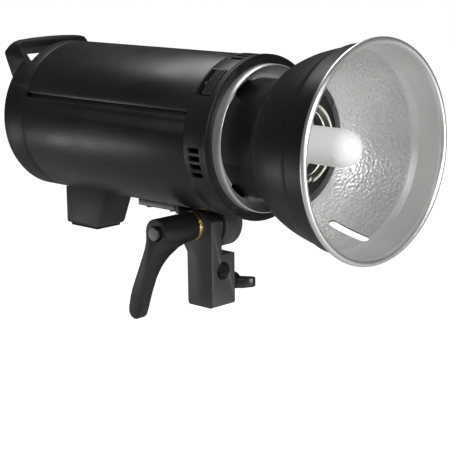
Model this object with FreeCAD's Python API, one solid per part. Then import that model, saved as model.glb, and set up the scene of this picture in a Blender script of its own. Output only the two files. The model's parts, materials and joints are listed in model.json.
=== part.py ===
"""Monolight strobe with a bayonet reflector, on a two-way tilting stand bracket.

Units are millimetres.  The part's frame has its origin at the mouth of the spigot
socket under the bracket, +Z up, and the light leaves towards -Y.  The head is
described in its own frame, whose origin lies on the lamp axis at the front bezel's
face, and is then moved into place.
"""
import FreeCAD
import Part
import math
import os

V = FreeCAD.Vector
X_AXIS = V(1, 0, 0)
Y_AXIS = V(0, 1, 0)
Z_AXIS = V(0, 0, 1)

# ---- where the head sits over the socket ------------------------------------------
HEAD_AT = V(0, -65.5, 154.0)
GAP = 0.3                     # clearance between parts that move apart
RUN = 0.05                    # radial clearance of a running fit

# ---- tilt joint (head frame) --------------------------------------------------------
TILT_Y = 70.0
TILT_Z = -81.5
TILT_BOLT_R = 5.0
KNUCKLE_R = 23.0
KNUCKLE_X0 = 0.7
KNUCKLE_X1 = 15.8
PIVOT_CAP_X1 = 22.5
EAR_X0 = -14.2
EAR_X1 = -1.6

# ---- stand bracket ------------------------------------------------------------------
BLOCK_HALF_X = 14.2
BLOCK_Y0 = 50.2
BLOCK_Y1 = 80.4
BLOCK_Z0 = -154.0
NOTCH_Z = -107.7
SPIGOT_R = 8.1
SPIGOT_DEPTH = 38.0
SPIGOT_Y = 65.5
CROSS_Z = -122.0
WING_Z = -138.5

# ---- body shells --------------------------------------------------------------------
COLLAR_R = 69.4
COVER_R = 68.6
SHELL_R = 68.3
WALL = 2.2
COLLAR_Y0 = 4.2
COLLAR_Y1 = 26.0
SHELL_Y0 = 26.4
SHELL_Y1 = 236.2
CAP_Y0 = 236.6
CAP_Y1 = 266.5
STEP_TOP_Z = 26.0
STEP_LOW_Z = 22.4
STEP_FACE_X = 61.2
STEP_CLEAR = (14, 146)        # start angles of the gaps that joints leave for the step
SPIGOT_OUTER = SHELL_R - WALL - 0.2
SPIGOT_INNER = SPIGOT_OUTER - 1.8

# ---- front mount --------------------------------------------------------------------
BEZEL_R = 70.0
RING_R = 62.3
RING_LIP_Y = -8.7
MOUNT_BORE_R = 50.2
LUG_HALF_DEG = 12.0
LUG_TWIST_DEG = 26.0
NECK_R = MOUNT_BORE_R - 0.08

# ---- reflector ----------------------------------------------------------------------
BOWL_SKIN = 1.1
BOWL_BACK_Y = -34.4
NECK_FLANGE_R = 54.6
NECK_FLANGE_Y = -37.0
BOWL_OUTER = (
    (NECK_R + 0.1, BOWL_BACK_Y), (55.2, BOWL_BACK_Y), (57.7, -37.1), (60.4, -40.3),
    (62.6, -42.8), (64.6, -45.4), (67.9, -50.2), (70.5, -55.0), (72.7, -60.0),
    (74.7, -65.0), (76.4, -70.0), (77.8, -75.0), (79.1, -80.0), (80.3, -85.0),
    (81.3, -90.2), (81.9, -92.6), (84.1, -98.2), (84.9, -108.0), (85.5, -117.5),
)
RIVET_CIRCLE_R = 52.4
RIVET_R = 0.9
RIM_BEAD_R = 2.75
RIM_BEAD_CENTRE_R = 87.4
RIM_BEAD_Y = -119.0
SLOT_ANGLE = -73.8
SLOT_Y0 = -92.5
SLOT_Y1 = -54.5
SLOT_HALF = 4.3

# ---- light source -------------------------------------------------------------------
TUBE_MAJOR = 31.8
TUBE_MINOR = 3.5
TUBE_Y = -43.4
LAMP_R = 15.6
LAMP_TIP_Y = -100.0


# ---- helpers ------------------------------------------------------------------------
def box(x0, x1, y0, y1, z0, z1):
    return Part.makeBox(x1 - x0, y1 - y0, z1 - z0, V(x0, y0, z0))


def cyl_x(radius, x0, x1, y, z):
    return Part.makeCylinder(radius, x1 - x0, V(x0, y, z), X_AXIS)


def cyl_y(radius, y0, y1, x=0.0, z=0.0):
    return Part.makeCylinder(radius, y1 - y0, V(x, y0, z), Y_AXIS)


def cyl_z(radius, z0, z1, x, y):
    return Part.makeCylinder(radius, z1 - z0, V(x, y, z0), Z_AXIS)


def tube_y(outer, inner, y0, y1, x=0.0, z=0.0):
    return cyl_y(outer, y0, y1, x, z).cut(cyl_y(inner, y0 - 1, y1 + 1, x, z))


def tube_x(outer, inner, x0, x1, y, z):
    return cyl_x(outer, x0, x1, y, z).cut(cyl_x(inner, x0 - 1, x1 + 1, y, z))


def polar(radius, angle, y=0.0):
    """Point at an angle about the lamp axis, from +X towards +Z."""
    a = math.radians(angle)
    return V(radius * math.cos(a), y, radius * math.sin(a))


def turned(shape, angle, centre=V(0, 0, 0)):
    """Turned about the lamp axis so that +X goes towards +Z."""
    out = shape.copy()
    out.rotate(centre, Y_AXIS, -angle)
    return out


def revolve(points):
    """Solid of revolution about the lamp axis from (radius, y) points."""
    wire = Part.makePolygon([V(r, y, 0) for r, y in points + (points[0],)])
    return Part.Face(wire).revolve(V(0, 0, 0), Y_AXIS, 360)


def inset(points, depth):
    """The same (radius, y) polyline moved inwards by a depth, measured square to it."""
    moved = []
    for k, (r, y) in enumerate(points):
        before = points[max(k - 1, 0)]
        after = points[min(k + 1, len(points) - 1)]
        dr, dy = after[0] - before[0], after[1] - before[1]
        length = math.hypot(dr, dy)
        moved.append((r + depth * dy / length, y - depth * dr / length))
    return tuple(moved)


def sector(outer, inner, y0, y1, angle0, angle1):
    """Part of a tube about the lamp axis between two angles."""
    face = Part.Face(Part.makePolygon([
        V(inner, y0, 0), V(outer, y0, 0), V(outer, y1, 0), V(inner, y1, 0), V(inner, y0, 0),
    ]))
    solid = face.revolve(V(0, 0, 0), Y_AXIS, -(angle1 - angle0))
    return turned(solid, angle0)


def prism_x(points, x0, x1):
    """Profile given as (y, z) points, extruded along X."""
    wire = Part.makePolygon([V(x0, y, z) for y, z in points + (points[0],)])
    return Part.Face(wire).extrude(V(x1 - x0, 0, 0))


def prism_y(points, y0, y1):
    """Profile given as (x, z) points, extruded along Y."""
    wire = Part.makePolygon([V(x, y0, z) for x, z in points + (points[0],)])
    return Part.Face(wire).extrude(V(0, y1 - y0, 0))


def prism_z(points, z0, z1):
    wire = Part.makePolygon([V(x, y, z0) for x, y in points + (points[0],)])
    return Part.Face(wire).extrude(V(0, 0, z1 - z0))


def fuse(*shapes):
    out = shapes[0]
    for shape in shapes[1:]:
        out = out.fuse(shape)
    return out.removeSplitter()


def cut(shape, *tools):
    for tool in tools:
        shape = shape.cut(tool)
    return shape


def rounded(shape, radius, wanted):
    """Fillet the edges that a test picks out."""
    edges = [e for e in shape.Edges if wanted(e)]
    return shape.makeFillet(radius, edges)


def along(edge, axis):
    """True for a straight edge parallel to an axis."""
    if not isinstance(edge.Curve, Part.Line):
        return False
    return abs(abs(edge.Curve.Direction.dot(axis)) - 1) < 1e-6


def group(solids):
    return Part.makeCompound(list(solids))


def screw_y(x, z, head_y, head_r, head_h, shank_r, length, faces=-1):
    """Screw along Y whose head stands on head_y and whose shank goes the other way."""
    head_base = head_y + faces * head_h
    head = cyl_y(head_r, min(head_y, head_base), max(head_y, head_base), x, z)
    socket_end = head_base - faces * head_h * 0.6
    socket = cyl_y(head_r * 0.5, min(head_base, socket_end), max(head_base, socket_end), x, z)
    tip = head_y - faces * length
    shank = cyl_y(shank_r, min(head_y, tip), max(head_y, tip), x, z)
    return fuse(head.cut(socket), shank)


def coil_x(radius, wire_r, x0, x1, turns, y, z):
    """Compression spring along X."""
    height = x1 - x0 - 2 * wire_r
    path = Part.makeHelix(height / turns, height, radius)
    profile = Part.Wire(Part.makeCircle(wire_r, V(radius, 0, 0), V(0, 1, 0)))
    spring = Part.Wire(path).makePipeShell([profile], True, True)
    spring.rotate(V(0, 0, 0), Y_AXIS, 90)
    spring.translate(V(x0 + wire_r, y, z))
    return spring


def coil_y(radius, wire_r, y0, y1, turns, x, z):
    """Compression spring along Y."""
    height = y1 - y0 - 2 * wire_r
    path = Part.makeHelix(height / turns, height, radius)
    profile = Part.Wire(Part.makeCircle(wire_r, V(radius, 0, 0), V(0, 1, 0)))
    spring = Part.Wire(path).makePipeShell([profile], True, True)
    spring.rotate(V(0, 0, 0), X_AXIS, -90)
    spring.translate(V(x, y0 + wire_r, z))
    return spring


# ---- stand bracket and its clamp ----------------------------------------------------
EAR_OUTLINE = (
    (BLOCK_Y0, NOTCH_Z - 4), (BLOCK_Y0, TILT_Z + 4.5), (BLOCK_Y0 + 7.0, TILT_Z + 8.0),
    (TILT_Y - 4, TILT_Z + 12), (TILT_Y + 4, TILT_Z + 12), (TILT_Y + 10, TILT_Z + 7),
    (TILT_Y + 12.5, TILT_Z - 2), (TILT_Y + 16, TILT_Z - 13.5), (TILT_Y + 14.6, TILT_Z - 19),
    (BLOCK_Y1, NOTCH_Z + 1), (BLOCK_Y1, NOTCH_Z - 4),
)


def stand_bracket():
    block = box(-BLOCK_HALF_X, BLOCK_HALF_X, BLOCK_Y0, BLOCK_Y1, BLOCK_Z0, NOTCH_Z)
    block = rounded(block, 3.0, lambda e: along(e, X_AXIS) and e.CenterOfMass.z < BLOCK_Z0 + 1)
    ear = prism_x(EAR_OUTLINE, EAR_X0, EAR_X1)
    boss = cyl_x(13.4, EAR_X0 - 1.4, EAR_X0 + 1, TILT_Y, TILT_Z)
    body = fuse(block, ear, boss)
    bolt_hole = cyl_x(TILT_BOLT_R + RUN, EAR_X0 - 5, EAR_X1 + 5, TILT_Y, TILT_Z)
    socket = cyl_z(SPIGOT_R, BLOCK_Z0 - 1, BLOCK_Z0 + SPIGOT_DEPTH, 0, SPIGOT_Y)
    cross = cyl_y(SPIGOT_R, BLOCK_Y0 - 1, BLOCK_Y1 + 1, 0, CROSS_Z)
    pad_hole = cyl_x(4.05, 2.0, BLOCK_HALF_X + 1, SPIGOT_Y, WING_Z)
    return cut(body, bolt_hole, socket, cross, pad_hole)


def thrust_pad():
    """Plug that presses the spigot; it slides but doesn't turn."""
    plug = cyl_x(4.0, SPIGOT_R + 0.1, 12.0, SPIGOT_Y, WING_Z)
    round_end = cyl_z(SPIGOT_R + 0.1, WING_Z - 6, WING_Z + 6, 0, SPIGOT_Y)
    pocket = cyl_x(2.05, 10.5, 13.0, SPIGOT_Y, WING_Z)
    return cut(plug, round_end, pocket)


def wing_screw():
    """Thumb screw with two wings and a threaded shank."""
    tip = cyl_x(2.0, 10.7, 12.4, SPIGOT_Y, WING_Z)
    shank = cyl_x(3.95, 12.3, 24.0, SPIGOT_Y, WING_Z)
    hub = Part.makeCone(6.5, 7.8, 12.5, V(BLOCK_HALF_X + 3.8, SPIGOT_Y, WING_Z), X_AXIS)
    wings = prism_z((
        (18.2, SPIGOT_Y - 7.5), (24.0, SPIGOT_Y - 15.5), (33.0, SPIGOT_Y - 19.5),
        (38.0, SPIGOT_Y - 18.5), (39.0, SPIGOT_Y - 14.0), (30.5, SPIGOT_Y),
        (39.0, SPIGOT_Y + 14.0), (38.0, SPIGOT_Y + 18.5), (33.0, SPIGOT_Y + 19.5),
        (24.0, SPIGOT_Y + 15.5), (18.2, SPIGOT_Y + 7.5),
    ), WING_Z - 4.0, WING_Z + 4.0)
    wings = rounded(wings, 2.0, lambda e: along(e, Z_AXIS) and e.CenterOfMass.x > 36)
    return fuse(tip, shank, hub, wings)


# ---- clamp lever --------------------------------------------------------------------
HUB_R = 12.6
HUB_X0 = -61.0
HUB_X1 = -20.6
INSERT_X0 = -46.0
LIFT = 5.0
SPRING_SEAT_X = INSERT_X0 - LIFT - 0.6
SCREW_HEAD_R = 5.9
SCREW_FACE_X = -64.6
SCREW_HEAD_X1 = -60.0
ARM_OUTLINE = (
    (-11.6, -4.5), (-6.4, -11.0), (-1.6, -15.5), (3.2, -22.5), (7.6, -30.0), (11.8, -39.5),
    (15.6, -51.5), (18.4, -60.0), (21.7, -71.0), (24.4, -77.6), (27.6, -80.2), (31.2, -80.2),
    (34.6, -78.6), (36.8, -75.4), (36.9, -71.0), (34.4, -60.5), (31.6, -52.5), (26.8, -41.9),
    (22.6, -33.0), (18.2, -23.5), (14.8, -15.5), (12.8, -8.5), (12.4, 0.0), (0.0, 4.0),
)
ARM_DEPTH = (
    (HUB_X0, 8.0), (HUB_X0, -84.0), (-51.6, -84.0), (-51.2, -68.0), (-50.6, -56.0), (-49.2, -44.0),
    (-46.6, -33.0), (-42.4, -24.0), (-36.4, -16.6), (-29.0, -11.4), (-24.0, -9.6), (-24.0, 8.0),
)


def tilt_bolt():
    """Clamping bolt: threaded shank through ear, washer and knuckle, nut in the cap."""
    return cyl_x(TILT_BOLT_R, INSERT_X0 + 6, 17.0, TILT_Y, TILT_Z)


def lever_insert():
    """Brass bush on the bolt; its splined drum carries the lever, its flange is seen."""
    flange = tube_x(13.0, TILT_BOLT_R, -18.6, EAR_X0 - 1.7, TILT_Y, TILT_Z)
    lip = tube_x(12.2, TILT_BOLT_R, -20.3, -18.6, TILT_Y, TILT_Z)
    drum = tube_x(8.0, TILT_BOLT_R, INSERT_X0 + 6, -20.3, TILT_Y, TILT_Z)
    end = cyl_x(8.0, INSERT_X0, INSERT_X0 + 6, TILT_Y, TILT_Z)
    thread = cyl_x(2.55, INSERT_X0 - 1, INSERT_X0 + 7, TILT_Y, TILT_Z)
    return fuse(flange, lip, drum, end).cut(thread)


def clamp_lever():
    """Hub and one swept arm; the hub slides on the insert's drum to change its angle."""
    hub = cyl_x(HUB_R, HUB_X0, HUB_X1, TILT_Y, TILT_Z)
    side = prism_x(tuple((TILT_Y + y, TILT_Z + z) for y, z in ARM_OUTLINE), HUB_X0, HUB_X1)
    depth = prism_y(tuple((x, TILT_Z + z) for x, z in ARM_DEPTH), TILT_Y - 40, TILT_Y + 60)
    body = fuse(hub, side.common(depth))
    drum = cyl_x(8.1, INSERT_X0 - 0.4, HUB_X1 + 1, TILT_Y, TILT_Z)
    head_room = cyl_x(SCREW_HEAD_R + 0.9, HUB_X0 - 1, SPRING_SEAT_X, TILT_Y, TILT_Z)
    shank_hole = cyl_x(3.0, SPRING_SEAT_X - 1, INSERT_X0 + 1, TILT_Y, TILT_Z)
    return cut(body, drum, head_room, shank_hole)


def lever_screw():
    """Retaining screw threaded into the insert; its round head stands out of the hub."""
    head = cyl_x(SCREW_HEAD_R, SCREW_FACE_X, SCREW_HEAD_X1, TILT_Y, TILT_Z)
    head = head.makeFillet(0.5, [e for e in head.Edges if e.CenterOfMass.x < SCREW_FACE_X + 0.1])
    shank = cyl_x(2.5, SCREW_HEAD_X1 - 0.5, INSERT_X0 + 5.5, TILT_Y, TILT_Z)
    return fuse(head, shank)


def lever_spring():
    return coil_x(4.2, 0.32, SCREW_HEAD_X1 + 0.1, SPRING_SEAT_X - 0.1, 4, TILT_Y, TILT_Z)


# ---- head side of the tilt joint ----------------------------------------------------
def tilt_washer():
    """Steel shim on the ear, as far round the bolt as the ear reaches."""
    x0, x1 = EAR_X1 + 0.05, KNUCKLE_X0 - 0.3
    ring = tube_x(20.0, TILT_BOLT_R + 0.4, x0, x1, TILT_Y, TILT_Z)
    return ring.common(prism_x(EAR_OUTLINE, x0, x1))


def shell_clear():
    """Solid of everything inside the body shells' outer surface."""
    return cyl_y(SHELL_R + 0.05, 0, 300)


def head_knuckle():
    disc = cyl_x(KNUCKLE_R, KNUCKLE_X0, KNUCKLE_X1, TILT_Y, TILT_Z)
    web = box(KNUCKLE_X0, KNUCKLE_X1, TILT_Y - 19.5, TILT_Y + 20.5, TILT_Z, -62.0)
    foot = box(KNUCKLE_X0, PIVOT_CAP_X1, TILT_Y - 19.5, TILT_Y + 20.5, -74.0, -60.0)
    pad = box(-14.0, 14.0, 90.4, 94.6, -74.4, -62.0)
    body = fuse(disc, web, foot, pad)
    bolt_hole = cyl_x(TILT_BOLT_R + RUN, KNUCKLE_X0 - 1, KNUCKLE_X1 + 1, TILT_Y, TILT_Z)
    cap_seat = cyl_x(KNUCKLE_R + 0.2, KNUCKLE_X1, PIVOT_CAP_X1 + 1, TILT_Y, TILT_Z)
    return cut(body, bolt_hole, cap_seat, shell_clear())


def pivot_cap():
    """Outer cap that holds the clamping nut; bolted to the knuckle."""
    disc = cyl_x(KNUCKLE_R, KNUCKLE_X1 + 0.1, PIVOT_CAP_X1, TILT_Y, TILT_Z)
    disc = disc.makeFillet(1.5, [e for e in disc.Edges if e.CenterOfMass.x > PIVOT_CAP_X1 - 0.1])
    hole = cyl_x(TILT_BOLT_R + 0.4, KNUCKLE_X1 - 1, KNUCKLE_X1 + 3, TILT_Y, TILT_Z)
    return cut(disc, hole, shell_clear())


def mounting_rail():
    rail = box(-14.0, 14.0, 95.4, 143.0, -72.6, -62.0)
    rail = rounded(rail, 1.2, lambda e: along(e, Z_AXIS))
    holes = [cyl_z(1.7, -80, -60, x, y) for x in (-8, 8) for y in (104, 134)]
    return cut(rail, shell_clear(), *holes)


def underside_screws():
    """Screws up through the rail and the foot into the lower shell."""
    seats = [(x, y, -72.6) for x in (-8, 8) for y in (104, 134)] + [(0, y, -80.1) for y in (206, 230)]
    solids = []
    for x, y, z in seats:
        head = cyl_z(3.0, z - 2.0, z, x, y).cut(cyl_z(1.5, z - 3.0, z - 0.8, x, y))
        solids.append(fuse(head, cyl_z(1.55, z, -62.0, x, y)))
    return group(solids)


# ---- body shells --------------------------------------------------------------------
def upper_cover():
    shell = tube_y(COVER_R, COVER_R - WALL, SHELL_Y0, SHELL_Y1)
    above = box(-80, 80, 0, 300, STEP_TOP_Z, 80)
    flank = box(-STEP_FACE_X, STEP_FACE_X, 0, 300, 0, 80)
    skin = shell.common(above).common(flank)
    ribs = []
    for side in (-1, 1):
        x_out = STEP_FACE_X * side
        x_in = (STEP_FACE_X - 2.6) * side
        ribs.append(box(min(x_out, x_in), max(x_out, x_in), SHELL_Y0, SHELL_Y1, STEP_TOP_Z, 33.0))
    ribs = [rib.common(cyl_y(COVER_R - 0.5, 0, 300)) for rib in ribs]
    return fuse(skin, *ribs)


def lower_shell():
    shell = tube_y(SHELL_R, SHELL_R - WALL, SHELL_Y0, SHELL_Y1)
    skin = shell.common(box(-80, 80, 0, 300, -80, STEP_LOW_Z))
    shelves = []
    for side in (-1, 1):
        shelf = box(56.4, 66.0, SHELL_Y0, SHELL_Y1, STEP_LOW_Z - 2.0, STEP_LOW_Z)
        upstand = box(56.4, 58.2, SHELL_Y0, SHELL_Y1, STEP_LOW_Z - 2.0, 31.0)
        ledge = fuse(shelf.common(cyl_y(SHELL_R - 0.4, 0, 300)), upstand)
        shelves.append(ledge if side > 0 else ledge.mirror(V(0, 0, 0), X_AXIS))
    floor = fuse(skin, *shelves)
    holes = [cyl_z(1.7, -80, -50, x, y) for x in (-8, 8) for y in (104, 134)]
    foot_holes = [cyl_z(1.7, -80, -50, 0, y) for y in (206, 230)]
    return cut(floor, *(holes + foot_holes))


VENT_Y0 = 8.3
VENT_Y1 = 20.5
VENT_HALF_DEG = 1.85
SIDE_VENTS = (-177.3, -171.5, -165.6, -159.5)
TOP_VENTS = (75, 81, 87, 93, 99, 105)
LATCH_A0 = 121.5
LATCH_A1 = 144.5
LATCH_Y0 = 6.6
LATCH_Y1 = 24.4


def vent(angle):
    return sector(COLLAR_R + 2, COLLAR_R - 6, VENT_Y0, VENT_Y1, angle - VENT_HALF_DEG, angle + VENT_HALF_DEG)


def front_collar():
    ring = tube_y(COLLAR_R, COLLAR_R - 2.8, COLLAR_Y0, COLLAR_Y1)
    vents = [vent(a) for a in SIDE_VENTS + TOP_VENTS]
    vents += [vent(-180 - a) for a in SIDE_VENTS]
    window = sector(COLLAR_R + 2, COLLAR_R - 4, LATCH_Y0, LATCH_Y1, LATCH_A0, LATCH_A1)
    ring = cut(ring, window, *vents)
    tray = sector(COLLAR_R - 2.8, COLLAR_R - 9, LATCH_Y0 - 1.8, LATCH_Y1 + 1.5, LATCH_A0 - 3, LATCH_A1 + 3)
    hollow = sector(COLLAR_R, COLLAR_R - 7.4, LATCH_Y0, LATCH_Y1, LATCH_A0, LATCH_A1)
    leg_slot = sector(COLLAR_R - 5, COLLAR_R - 12, 9.0, 21.5, 129.0, 137.0)
    joggle = tube_y(SPIGOT_OUTER, SPIGOT_INNER, COLLAR_Y1 - 3, COLLAR_Y1 + 4)
    joggle = cut(joggle, *[sector(COLLAR_R, 50, COLLAR_Y1, 34, a, a + 20) for a in STEP_CLEAR])
    seat = tube_y(COLLAR_R - 2.7, SPIGOT_INNER, COLLAR_Y1 - 3, COLLAR_Y1)
    joggle = joggle.fuse(seat).cut(sector(COLLAR_R + 2, COLLAR_R - 7.4, 0, LATCH_Y1, LATCH_A0, LATCH_A1))
    return fuse(ring, tray.cut(hollow).cut(leg_slot), joggle)


BEZEL_SCREWS = (117, -3, -123)
BEZEL_SCREW_R = 66.2


def front_bezel():
    disc = tube_y(BEZEL_R, RING_R + 0.2, 0, COLLAR_Y0 - 0.1)
    disc = disc.makeFillet(0.8, [e for e in disc.Edges if e.CenterOfMass.y < 0.1 and e.Length > 430])
    sinks = []
    for angle in BEZEL_SCREWS:
        p = polar(BEZEL_SCREW_R, angle)
        sinks.append(cyl_y(2.6, -1, 2.2, p.x, p.z))
        sinks.append(cyl_y(1.6, -1, 9, p.x, p.z))
    return cut(disc, *sinks)


def bezel_screws():
    solids = []
    for angle in BEZEL_SCREWS:
        p = polar(BEZEL_SCREW_R, angle)
        solids.append(screw_y(p.x, p.z, 2.1, 2.3, 1.8, 1.3, 2.0))
    return group(solids)


def bayonet_ring():
    """Bright mount ring: rolled lip, dished throat and a slotted inner flange."""
    body = revolve((
        (RING_R, 3.0), (RING_R, -6.6), (61.9, -8.0), (61.2, RING_LIP_Y), (60.6, -8.0), (60.0, -6.4),
        (53.6, 1.6), (MOUNT_BORE_R, 2.2), (MOUNT_BORE_R, 8.0), (57.5, 8.0), (59.8, 4.5),
    ))
    notches = [
        sector(MOUNT_BORE_R + 3.2, MOUNT_BORE_R - 2, -1, 9, a + LUG_TWIST_DEG - LUG_HALF_DEG - 1.5,
               a + LUG_TWIST_DEG + LUG_HALF_DEG + 1.5)
        for a in (90, 210, 330)
    ]
    pin = polar(56.6, 133)
    return cut(body, cyl_y(1.6, -6, 10, pin.x, pin.z), *notches)


def rivet_places():
    return [polar(RIVET_CIRCLE_R, 30 + 60 * k) for k in range(6)]


def reflector_neck():
    """Sheet neck with three lugs that turn in behind the mount ring's flange."""
    tube = tube_y(NECK_R, NECK_R - 1.8, NECK_FLANGE_Y, 12.6)
    flange = tube_y(NECK_FLANGE_R, NECK_R - 1.8, NECK_FLANGE_Y, BOWL_BACK_Y - BOWL_SKIN - 0.05)
    lugs = [sector(52.8, NECK_R - 1.0, 8.4, 12.0, a - LUG_HALF_DEG, a + LUG_HALF_DEG) for a in (90, 210, 330)]
    holes = [cyl_y(RIVET_R + RUN, NECK_FLANGE_Y - 1, BOWL_BACK_Y, p.x, p.z) for p in rivet_places()]
    return cut(fuse(tube, flange, *lugs), *holes)


def reflector_bowl():
    """Spun bowl with a flat back, a joggle near the mouth and a rolled rim."""
    inner = inset(BOWL_OUTER, BOWL_SKIN)
    shell = revolve(BOWL_OUTER + tuple(reversed(inner)))
    bead = Part.makeTorus(RIM_BEAD_CENTRE_R, RIM_BEAD_R, V(0, RIM_BEAD_Y, 0), Y_AXIS)
    shell = shell.fuse(bead)
    middle = (SLOT_Y0 + SLOT_Y1) / 2
    half = (SLOT_Y1 - SLOT_Y0) / 2 - SLOT_HALF
    plug = box(60, 100, middle - half, middle + half, -SLOT_HALF, SLOT_HALF)
    for y in (middle - half, middle + half):
        plug = plug.fuse(Part.makeCylinder(SLOT_HALF, 40, V(60, y, 0), X_AXIS))
    holes = [cyl_y(RIVET_R + RUN, NECK_FLANGE_Y - 1, BOWL_BACK_Y + 1, p.x, p.z) for p in rivet_places()]
    return cut(shell, turned(plug, SLOT_ANGLE), *holes)


def reflector_rivets():
    """Rivets that hold the neck's flange against the inside of the bowl's back."""
    solids = []
    for p in rivet_places():
        shank = cyl_y(RIVET_R, NECK_FLANGE_Y - 0.5, BOWL_BACK_Y + 0.5, p.x, p.z)
        head = cyl_y(1.7, BOWL_BACK_Y + 0.05, BOWL_BACK_Y + 0.8, p.x, p.z)
        tail = cyl_y(1.7, NECK_FLANGE_Y - 0.8, NECK_FLANGE_Y - 0.05, p.x, p.z)
        solids.append(fuse(shank, head, tail))
    return group(solids)


# ---- latch --------------------------------------------------------------------------
def release_slider():
    """Ribbed thumb slider; its leg draws the lock pin back."""
    pad = sector(COLLAR_R + 0.9, COLLAR_R - 7.0, 7.0, 17.0, LATCH_A0 + 0.6, LATCH_A1 - 0.6)
    grooves = [sector(COLLAR_R + 2, COLLAR_R, y, y + 1.1, LATCH_A0, LATCH_A1) for y in (8.3, 10.5, 12.7, 14.9)]
    leg = sector(COLLAR_R - 6.0, 53.6, 10.0, 14.4, 130.6, 135.4)
    return fuse(cut(pad, *grooves), leg)


def lock_pin():
    p = polar(56.6, 133)
    return cyl_y(1.5, 0.8, 9.9, p.x, p.z)


def slider_spring():
    p = polar(65.4, 133)
    return coil_y(1.6, 0.35, 17.1, 24.3, 6, p.x, p.z)


# ---- rear cap, handle and foot ------------------------------------------------------
SCOOP_Z = 40.0
SCOOP_Y = 251.0
SCOOP_RIM_Z = 52.2             # above this the cap's corner is open over its whole width
HANDLE_HALF_X = 43.0
HANDLE_BAR = 6.2
HANDLE_SCREW_X = 41.0
HANDLE_SCREW_Z = 44.0
PANEL_R = 50.0
PANEL_TOP_Z = 35.0
CAP_SCREWS = (-32, -148, -90)
CAP_SCREW_R = 57.0


def rear_cap():
    outer = revolve((
        (0.0, CAP_Y0), (COVER_R - 0.2, CAP_Y0), (COVER_R - 0.2, CAP_Y1 - 4.5), (COVER_R - 1.6, CAP_Y1 - 1.4),
        (COVER_R - 4.8, CAP_Y1), (0.0, CAP_Y1),
    ))
    inner = cyl_y(COVER_R - 2.6, CAP_Y0 - 1, CAP_Y1 - 3.4)
    scoop = box(-36, 36, SCOOP_Y, 290, SCOOP_Z, 80)
    scoop_skin = box(-38.4, 38.4, SCOOP_Y - 2.4, 290, SCOOP_Z - 2.4, 80).common(outer)
    rim = box(-80, 80, SCOOP_Y, 290, SCOOP_RIM_Z, 80)
    rim_skin = box(-80, 80, SCOOP_Y - 2.4, 290, SCOOP_RIM_Z - 2.4, 80).common(outer)
    shell = cut(fuse(outer.cut(inner), scoop_skin, rim_skin), scoop, rim)
    spigot = tube_y(SPIGOT_OUTER, SPIGOT_INNER, CAP_Y0 - 5, CAP_Y0 + 2)
    spigot = cut(spigot, *[sector(COVER_R, 40, 220, CAP_Y0, a, a + 20) for a in STEP_CLEAR])
    seat = tube_y(COVER_R - 2.4, SPIGOT_INNER, CAP_Y0, CAP_Y0 + 2)
    bosses = []
    holes = [panel_outline(0.3, 250, 280)]
    for angle in CAP_SCREWS:
        p = polar(CAP_SCREW_R, angle)
        bosses.append(cyl_y(3.6, 250, CAP_Y1 - 3, p.x, p.z))
        holes.append(cyl_y(1.35, 240, 280, p.x, p.z))
        holes.append(cyl_y(2.6, CAP_Y1 - 2, 280, p.x, p.z))
    for side in (-1, 1):
        holes.append(cyl_y(1.9, 250, 280, HANDLE_SCREW_X * side, HANDLE_SCREW_Z))
    return cut(fuse(shell, spigot, seat, *bosses), *holes)


def panel_outline(grow, y0, y1):
    """Round panel whose top is cut flat below the hand scoop."""
    disc = cyl_y(PANEL_R + grow, y0, y1)
    return disc.common(box(-80, 80, y0, y1, -80, PANEL_TOP_Z + grow))


HANDLE_PROFILE = (
    (255.0, 45.0), (259.0, 50.4), (271.5, 64.5), (271.5, 68.6), (274.3, 71.4), (279.4, 71.4),
    (291.6, 58.4), (289.4, 53.0), (281.2, 36.5), (278.5, 34.6), (262.0, 34.6),
)
HANDLE_BAR_Z = 57.6
HANDLE_ARCH = (
    (-HANDLE_HALF_X, 30.0), (-HANDLE_HALF_X, 60.0), (-41.8, 65.0), (-38.6, 68.4), (-34.0, 69.9), (-18.0, 71.0),
    (0.0, 71.4), (18.0, 71.0), (34.0, 69.9), (38.6, 68.4), (41.8, 65.0), (HANDLE_HALF_X, 60.0), (HANDLE_HALF_X, 30.0),
)


def carry_handle():
    """Angular strap over the scoop: a cross bar on two leaning side plates."""
    block = prism_x(HANDLE_PROFILE, -HANDLE_HALF_X, HANDLE_HALF_X)
    block = rounded(block, 2.4, lambda e: along(e, X_AXIS) and e.CenterOfMass.z > 52 and e.CenterOfMass.y > 273)
    block = block.common(prism_y(HANDLE_ARCH, 240, 300))
    inner_x = HANDLE_HALF_X - HANDLE_BAR
    hollow = box(-inner_x, inner_x, 240, 300, 0, HANDLE_BAR_Z)
    envelope = revolve((
        (0.0, 200.0), (COVER_R - 0.15, 200.0), (COVER_R - 0.15, CAP_Y1 - 4.45), (COVER_R - 1.55, CAP_Y1 - 1.35),
        (COVER_R - 4.75, CAP_Y1 + 0.05), (0.0, CAP_Y1 + 0.05),
    ))
    envelope = envelope.cut(box(-80, 80, SCOOP_Y, 300, SCOOP_RIM_Z + 0.15, 90))
    holes = [cyl_y(1.6, 250, 277.5, HANDLE_SCREW_X * side, HANDLE_SCREW_Z) for side in (-1, 1)]
    return cut(block, hollow, envelope, *holes)


def handle_screws():
    """Screws from inside the cap into the handle's side plates."""
    return group(
        screw_y(HANDLE_SCREW_X * side, HANDLE_SCREW_Z, CAP_Y1 - 3.5, 2.5, 2.0, 1.5, 13.0) for side in (-1, 1)
    )


def cap_screws():
    solids = []
    for angle in CAP_SCREWS:
        p = polar(CAP_SCREW_R, angle)
        solids.append(screw_y(p.x, p.z, CAP_Y1 - 1.95, 2.3, 1.6, 1.3, 12.0, faces=1))
    return group(solids)


FOOT_HALF_X = 18.0


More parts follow.
